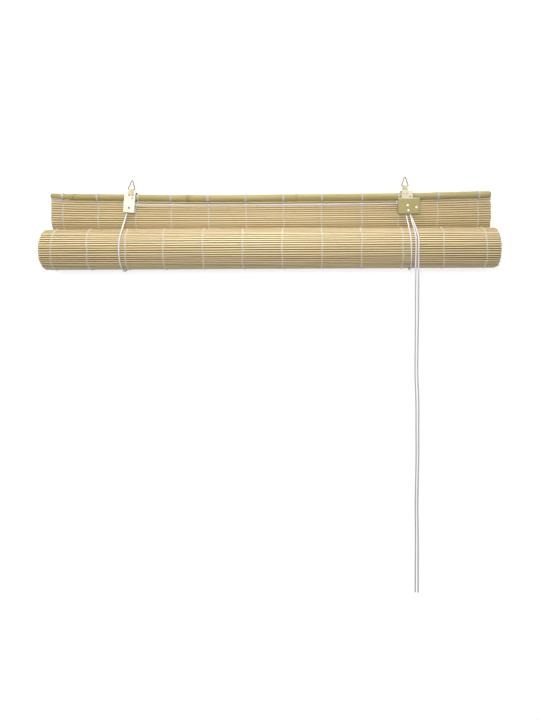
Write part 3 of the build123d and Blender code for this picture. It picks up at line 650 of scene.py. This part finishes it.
def liftPath(tie, exitX, exitY, exitZ, aside):
    # tangent from the tie to the circle behind the roll, arc under it, tangent from its front to the exit
    tieX, tieY = tie
    rollY, rollZ = mat["rollY"], mat["rollZ"]

    def touch(y, z, side):
        toward = math.atan2(z - rollZ, y - rollY)
        return toward + side * math.acos(lift["wrap"] / math.hypot(y - rollY, z - rollZ))

    angle = np.linspace(touch(tieY, mat["rodZ"], -1), touch(exitY, exitZ, 1) - 2 * math.pi, lift["arcSteps"])
    # x stays with the exit over the front and drifts to the tie behind: driftStart + drift (1 - t)^driftPower
    # of the way, and it bows aside by a few millimetres on the front
    along = np.linspace(0, 1, lift["arcSteps"])
    share = lift["driftStart"] + lift["drift"] * (1 - along)**lift["driftPower"]
    arcX = exitX + (tieX - exitX) * share + aside * np.interp(along, lift["bowAt"], lift["bowShare"])
    arc = np.stack([arcX, rollY + lift["wrap"] * np.cos(angle), rollZ + lift["wrap"] * np.sin(angle)], -1)
    return [(tieX, tieY, mat["rodZ"])] + [tuple(point) for point in arc] + [(exitX, exitY, exitZ)]


def wheelArc(centreX, centreZ, y, radius, start, end):
    return [(centreX + radius * math.cos(a), y, centreZ + radius * math.sin(a))
            for a in np.linspace(start, end, lift["wheelSteps"])]


def lockPath(y, start):
    # over the lock's wheel from this angle, through the nip and out
    nipX, nipZ = lift["nip"]
    return (wheelArc(*lift["lockAxle"], y, lift["lockWheel"], start, lift["lockAngle"])
            + [(nipX, y, nipZ), (nipX, y, lift["lockExit"])])


axleX, axleY, axleZ = lift["leftAxle"]
leftRoute = liftPath(lift["leftTie"], axleX - lift["leftWheel"], axleY, lift["leftTop"], lift["leftBow"])
leftRoute += wheelArc(axleX, axleZ, axleY, lift["leftWheel"], math.pi, math.pi / 2)
# the long stretch under the rod sags by acrossSag * 4 t (1 - t)
leftRoute += [(axleX + (lift["lockAxle"][0] - axleX) * t, axleY + (lift["frontY"] - axleY) * t,
               lift["acrossTop"] + lift["acrossRise"] * t - lift["acrossSag"] * 4 * t * (1 - t))
              for t in np.linspace(0, 1, lift["acrossSteps"])[1:-1]]
leftRoute += lockPath(lift["frontY"], math.pi / 2)
rightRoute = liftPath(lift["rightTie"], lift["lockAxle"][0] - lift["lockWheel"] + lift["rightAside"], lift["rearY"],
                      lift["rightTop"], lift["rightBow"])
rightRoute += lockPath(lift["rearY"], math.pi)
for name, node, route, tie in (("leftLift", "left_lift_cord", leftRoute, lift["leftTie"]),
                               ("rightLift", "right_lift_cord", rightRoute, lift["rightTie"])):
    cordPiece = Gather()
    path = smoothPath(route, lift["spacing"]) * mm
    # painted shade: the long stretch under the rod is the greyer one
    grey = np.interp(path[:, 0], lift["greyAt"], lift["grey"])
    cordPiece.strip(tubeRings(path, lift["radius"] * mm, lift["sides"]), tubeUv(path, lift["sides"]), grey[:, None])
    # the dead end: a knot at the back of the rod, a small coil whose radius swells and shrinks
    angle = np.linspace(0, 2 * np.pi * lift["knotTurns"], lift["knotSteps"])
    reach = lift["knotReach"] * np.sin(np.linspace(lift["knotEnd"], np.pi - lift["knotEnd"], lift["knotSteps"]))
    path = np.stack([tie[0] + reach * np.cos(angle),
                     tie[1] + lift["knotOut"] + reach * np.sin(angle) * lift["knotFlat"],
                     mat["rodZ"] + lift["knotTall"] / 2 - lift["knotTall"] * angle / angle[-1]], -1) * mm
    cordPiece.strip(tubeRings(path, lift["knotCord"] * mm, lift["sides"]), tubeUv(path, lift["sides"]), 0.0)
    made = cordPiece.build(name, cordLook)
    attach(made, "blind")
    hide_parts(node)
print("lift cords")

# Pull cords: near the routes of the solids, as NURBS control points, and a braided tube along each
pull = {"radius": 1.5, "sides": 12, "smooth": 24, "greyAt": [0.19, 0.23], "grey": [0.0, 0.72],
        "length": {"left": 0.832, "right": 0.836}, "routes": {
    "left": [(312.95, 2.2, -80.1), (313.0, 2.2, -87.0), (313.4, -44.5, -124.4), (312.4, -54.35, -144.8),
             (310.8, -54.4, -200.0), (310.1, -54.0, -256.0), (309.7, -54.5, -313.0), (308.8, -54.2, -370.0),
             (308.1, -53.6, -427.0), (310.2, -53.9, -484.0), (309.5, -54.6, -541.0), (309.8, -54.3, -598.0),
             (308.4, -53.8, -655.0), (307.1, -54.2, -712.0), (307.4, -54.6, -770.0), (306.8, -54.3, -830.0),
             (306.3, -54.0, -889.0)],
    "right": [(312.95, 6.5, -80.25), (316.4, 6.5, -87.0), (318.4, -43.4, -122.8), (318.4, -54.35, -144.1),
              (317.0, -54.4, -200.0), (316.4, -54.4, -256.0), (315.9, -54.1, -313.0), (314.3, -54.6, -370.0),
              (313.4, -54.9, -427.0), (316.0, -54.4, -484.0), (315.3, -53.8, -541.0), (315.3, -54.2, -598.0),
              (313.4, -54.7, -655.0), (312.2, -54.4, -712.0), (313.2, -53.9, -770.0), (312.6, -54.3, -830.0),
              (312.2, -54.6, -889.0)]}}


def splinePoints(route, name):
    # the route's own NURBS line, read back as points
    curve = bpy.data.curves.new(name, "CURVE")
    curve.dimensions = "3D"
    curve.resolution_u = pull["smooth"]
    spline = curve.splines.new("NURBS")
    spline.points.add(len(route) - 1)
    for point, place in zip(spline.points, route):
        point.co = (place[0] * mm, place[1] * mm, place[2] * mm, 1)
    spline.order_u = 3
    spline.use_endpoint_u = True
    holder = bpy.data.objects.new(name, curve)
    bpy.context.scene.collection.objects.link(holder)
    bpy.context.view_layer.update()
    mesh = bpy.data.meshes.new_from_object(holder)
    points = np.array([tuple(vertex.co) for vertex in mesh.vertices])
    bpy.data.objects.remove(holder)
    bpy.data.curves.remove(curve)
    bpy.data.meshes.remove(mesh)
    return points


for side, route in pull["routes"].items():
    path = splinePoints(route, side + "Line")
    cordPiece = Gather()
    # greyer where it hangs free, below the front of the roll
    grey = np.interp(-path[:, 2], pull["greyAt"], pull["grey"])
    cordPiece.strip(tubeRings(path, pull["radius"] * mm, pull["sides"]), tubeUv(path, pull["sides"]), grey[:, None])
    made = cordPiece.build(side + "Pull", cordLook)
    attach(made, "blind")
    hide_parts(side + "_pull_cord")
print("pull cords")

# Hangers: round wire bent to a triangle, r = bend at its corners, leaning with its clip
hanger = {"width": 15.5, "height": 23.67, "bend": 1.7, "wire": 1.1, "sides": 14, "cornerSteps": 12, "tone": 0.5,
          "places": (("leftTriangle", "left_hanger", -312.53, 5.0, 16.6),
                     ("rightTriangle", "right_hanger", 300.35, 0.0, 21.0))}


def roundedTriangle(half, tall, bend, steps):
    # corner arcs of a closed triangle, each centred on its bisector
    corners = np.array([(-half, 0), (half, 0), (0, tall)], float)
    points = []
    for at in range(3):
        here, before, after = corners[at], corners[at - 1], corners[(at + 1) % 3]
        a = (before - here) / np.linalg.norm(before - here)
        b = (after - here) / np.linalg.norm(after - here)
        opening = math.acos(a @ b) / 2
        middle = here + (a + b) / np.linalg.norm(a + b) * bend / math.sin(opening)
        first = here + a * bend / math.tan(opening) - middle
        last = here + b * bend / math.tan(opening) - middle
        start = math.atan2(first[1], first[0])
        sweep = (math.atan2(last[1], last[0]) - start) % (2 * math.pi)
        angle = start + np.linspace(0, sweep, steps)
        points.append(middle + bend * np.stack([np.cos(angle), np.sin(angle)], -1))
    return np.concatenate(points)


for name, node, clipX, tilt, rise in hanger["places"]:
    flat = roundedTriangle(hanger["width"] / 2, hanger["height"], hanger["bend"], hanger["cornerSteps"])
    lean = math.radians(tilt)
    up = flat[:, 1] + rise
    loop = np.stack([clipX + flat[:, 0] * math.cos(lean) + up * math.sin(lean), 0 * up,
                     mat["rodZ"] - flat[:, 0] * math.sin(lean) + up * math.cos(lean)], -1)
    closed = np.concatenate([loop[-1:], loop, loop[:2]])
    ahead = (closed[2:] - closed[:-2])[:len(loop)]
    ahead /= np.linalg.norm(ahead, axis=1)[:, None]
    front = np.array([0, -1.0, 0])
    turns = np.arange(hanger["sides"]) * 2 * np.pi / hanger["sides"]
    outward = np.cross(ahead, front)
    rings = loop[:, None] + hanger["wire"] * (np.cos(turns)[None, :, None] * outward[:, None]
                                              + np.sin(turns)[None, :, None] * front)
    rings = np.concatenate([rings, rings[:1]])
    uv = tubeUv(rings.mean(1), hanger["sides"])
    wire = Gather()
    wire.strip(rings * mm, uv, hanger["tone"], caps=False)
    made = wire.build(name, wireLook)
    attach(made, node)
    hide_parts(node)
print("hangers")

# Pins, rivets and nails: turned shanks with domed heads, seen on the clips' fronts. A spot is the clip's x, its
# tilt and the place on it. A size is head radius and height, shank radius and length, and height of the tail.
# The last pair for each kind is the tone on the left and on the right clip: how much painted shade darkens the heads
# there, for their shade and dark reflection.
pins = {"sides": 20, "domeSteps": 7, "domeTop": 0.98, "rim": 0.25, "underHead": 0.02, "tailFoot": 1.3, "tailTop": 1.2,
        "uvStep": 0.001, "frontFace": mat["rodY"] - 11.5, "tabThick": 1.0,
        "axleSpots": [(-315.03, 5.0, 0.0, -24.2), (305.35, 0.0, 1.3, -22.0), (305.35, 0.0, 2.8, -33.6),
                      (305.35, 0.0, 20.6, -26.5)],
        "rivetSpots": [(-312.53, 5.0, -3.5, 4.5), (-312.53, 5.0, 3.5, 4.5), (300.35, 0.0, -3.5, 4.5),
                       (300.35, 0.0, 3.5, 4.5)],
        "nailSpots": [(-315.03, 5.0, 6.0, -2.5), (305.35, 0.0, 6.0, -2.5)],
        "axleSize": (2.5, 0.9, 1.5, 10.9, 0.4), "rivetSize": (1.7, 0.7, 1.0, 2.0, 0.35),
        "nailSize": (1.7, 0.8, 0.8, 9.0, 0), "axleShade": (0.85, 0.0), "rivetShade": (0.85, 0.7), "nailShade": (0, 0)}


def turned(gather, spot, face, tone, headRadius, headHeight, shankRadius, shankLength, tailHeight):
    # a lathe profile along -Y from the clip's face: domed head, shank, peened tail
    clipX, tilt, across, up = spot
    lean = math.radians(tilt)
    centre = np.array([clipX + across * math.cos(lean) + up * math.sin(lean), face,
                       mat["rodZ"] - across * math.sin(lean) + up * math.cos(lean)])
    # the dome is r = head * cos(t), h = height * sin(t) above a short straight edge
    t = np.linspace(np.pi / 2 * pins["domeTop"], 0, pins["domeSteps"])
    dome = np.stack([headRadius * np.cos(t), -(pins["rim"] + (headHeight - pins["rim"]) * np.sin(t))], -1)
    profile = [*dome, (headRadius, 0.0), (shankRadius, pins["underHead"]), (shankRadius, shankLength)]
    if tailHeight:
        profile += [(shankRadius * pins["tailFoot"], shankLength),
                    (shankRadius * pins["tailTop"], shankLength + tailHeight)]
    radius, depth = np.array(profile).T[:, :, None]
    turns = np.arange(pins["sides"]) * 2 * np.pi / pins["sides"]
    rings = np.stack(np.broadcast_arrays(centre[0] + radius * np.cos(turns), centre[1] + depth,
                                         centre[2] + radius * np.sin(turns)), -1)
    uv = np.stack(np.broadcast_arrays(np.arange(len(profile))[:, None] * pins["uvStep"],
                                      (turns / 2 / np.pi)[None]), -1)
    gather.strip(rings * mm, uv, tone)


for name, node, kind, face, look, slot in (
        ("axlePins", "axle_pins", "axle", pins["frontFace"], pinLook, "brass_pins"),
        ("tabRivets", "tab_rivets", "rivet", pins["frontFace"] - pins["tabThick"], pinLook, "brass_pins"),
        ("rodNails", "rod_nails", "nail", pins["frontFace"], nailLook, "steel_nails")):
    gather = Gather()
    # each clip's tone of painted shade on the heads of this kind
    leftTone, rightTone = pins[kind + "Shade"]
    for spot in pins[kind + "Spots"]:
        turned(gather, spot, face, leftTone if spot[0] < 0 else rightTone, *pins[kind + "Size"])
    made = gather.build(name, look)
    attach(made, "blind")
    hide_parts(node)
print("pins, rivets and nails")

# CAD nodes that stay, with their finishes
kept = {"left_clip": sheetLook, "right_clip": lockLook, "left_hanger_tab": leftTabLook,
        "right_hanger_tab": rightTabLook, "bottom_rod": coreLook, "left_pulley": nylonLook,
        "lock_front_pulley": nylonLook, "lock_rear_pulley": nylonLook, "lock_roller": nylonLook, "lock_cam": camLook}
for node, look in kept.items():
    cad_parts[node].data.materials.clear()
    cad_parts[node].data.materials.append(look)
print("CAD nodes dressed")

# Stage: white wall close behind, pale floor far below
stage = {"wallY": 0.0495, "wallTop": 2.2, "floorZ": -1.32, "half": 3.0, "rough": 0.9, "wallShine": 0.1,
         "wallColour": (0.42, 0.42, 0.42, 1), "wallGlow": 0.74, "floorColour": (0.82, 0.82, 0.81, 1)}
half, wallY, floorZ = stage["half"], stage["wallY"], stage["floorZ"]


def flatPiece(name, corners):
    shape = bpy.data.meshes.new(name)
    shape.from_pydata(corners, [], [(0, 1, 2, 3)])
    piece = bpy.data.objects.new(name, shape)
    bpy.context.scene.collection.objects.link(piece)
    return piece


wall = flatPiece("wall", [(-half, wallY, floorZ), (half, wallY, floorZ), (half, wallY, stage["wallTop"]),
                          (-half, wallY, stage["wallTop"])])
floor = flatPiece("floor", [(-half, -half, floorZ), (half, -half, floorZ), (half, half, floorZ),
                            (-half, half, floorZ)])


def shownRays(owner):
    # 1 for what the camera sees itself, in gloss or through glass, 0 for the light that things get
    rays = addNode(owner, "ShaderNodeLightPath").outputs
    return math2(owner, "MAXIMUM", rays["Is Camera Ray"],
                 math2(owner, "MAXIMUM", rays["Is Glossy Ray"], rays["Is Transmission Ray"]))


wallPaint, shader = newMaterial("wallPaint", stage["rough"])
shader.inputs["Base Color"].default_value = stage["wallColour"]
shader.inputs["Specular IOR Level"].default_value = stage["wallShine"]
# the camera sees the wall a little brighter than it is lit, and nothing of it from behind
white = addNode(wallPaint, "ShaderNodeEmission", Strength=stage["wallGlow"])
added = addNode(wallPaint, "ShaderNodeAddShader")
lit = addNode(wallPaint, "ShaderNodeMixShader")
clear = addNode(wallPaint, "ShaderNodeBsdfTransparent")
oneSided = addNode(wallPaint, "ShaderNodeMixShader")
backOf = addNode(wallPaint, "ShaderNodeNewGeometry").outputs["Backfacing"]
surface = wallPaint.node_tree.nodes["Material Output"].inputs["Surface"]
for source, target in ((shader.outputs[0], added.inputs[0]), (white.outputs[0], added.inputs[1]),
                       (shownRays(wallPaint), lit.inputs[0]), (shader.outputs[0], lit.inputs[1]),
                       (added.outputs[0], lit.inputs[2]), (backOf, oneSided.inputs[0]),
                       (lit.outputs[0], oneSided.inputs[1]), (clear.outputs[0], oneSided.inputs[2]),
                       (oneSided.outputs[0], surface)):
    link(wallPaint, source, target)
wall.data.materials.append(wallPaint)
wall.visible_shadow = False
floorPaint, shader = newMaterial("floorPaint", stage["rough"])
shader.inputs["Base Color"].default_value = stage["floorColour"]
floor.data.materials.append(floorPaint)

print("stage")

# Light: a broad soft panel in front and above, a narrow one overhead, a weak fill and a small lamp in front, and
# one behind for the back: place, aim, size and power
lamps = {"keyPanel": ((0.06, -1.15, 1.2), (0, 0, -0.15), (2.0, 1.0), 12.5),
         "topPanel": ((0.06, -0.11, 1.0), (0, -0.03, -0.1), (1.8, 0.24), 14.0),
         "fillPanel": ((-0.3, -2.2, 0.3), (0, 0, -0.2), (1.4, 1.4), 10.5),
         "lensPanel": ((-0.03, -1.2, 0.05), (0, 0, -0.2), (0.12, 0.12), 5.5),
         "backPanel": ((0.0, 1.6, 0.9), (0, 0, -0.15), (1.8, 1.2), 20.0)}
for name, (place, aim, size, power) in lamps.items():
    lamp = bpy.data.lights.new(name, "AREA")
    lamp.shape = "RECTANGLE"
    lamp.size, lamp.size_y = size
    lamp.energy = power
    holder = bpy.data.objects.new(name, lamp)
    bpy.context.scene.collection.objects.link(holder)
    holder.location = place
    toward = mathutils.Vector(aim) - mathutils.Vector(place)
    holder.rotation_euler = toward.to_track_quat("-Z", "Y").to_euler()

# World: strength light for what it gives, more by extra where the camera, gloss or glass shows it
sky = {"colour": (1, 1, 1, 1), "light": 0.2, "extra": 0.7}
world = bpy.data.worlds.new("studio")
bpy.context.scene.world = world
world.use_nodes = True
background = world.node_tree.nodes["Background"]
background.inputs["Color"].default_value = sky["colour"]
strength = math2(world, "ADD", math2(world, "MULTIPLY", shownRays(world), sky["extra"]), sky["light"])
link(world, strength, background.inputs["Strength"])

# Camera: the photograph's height, distance and shift
camera = {"lens": 25.2, "sensor": 36.0, "shiftX": -0.0375, "shiftY": -0.1688, "place": (0.0584, -1.1275, -0.1347),
          "roll": 0.3}
view = bpy.data.cameras.new("photoView")
view.lens = camera["lens"]
view.sensor_width = camera["sensor"]
view.shift_x = camera["shiftX"]
view.shift_y = camera["shiftY"]
eye = bpy.data.objects.new("photoView", view)
bpy.context.scene.collection.objects.link(eye)
eye.location = camera["place"]
eye.rotation_euler = (math.pi / 2, math.radians(camera["roll"]), 0)
bpy.context.scene.camera = eye
bpy.context.scene.view_settings.view_transform = "Standard"
print("light and camera")
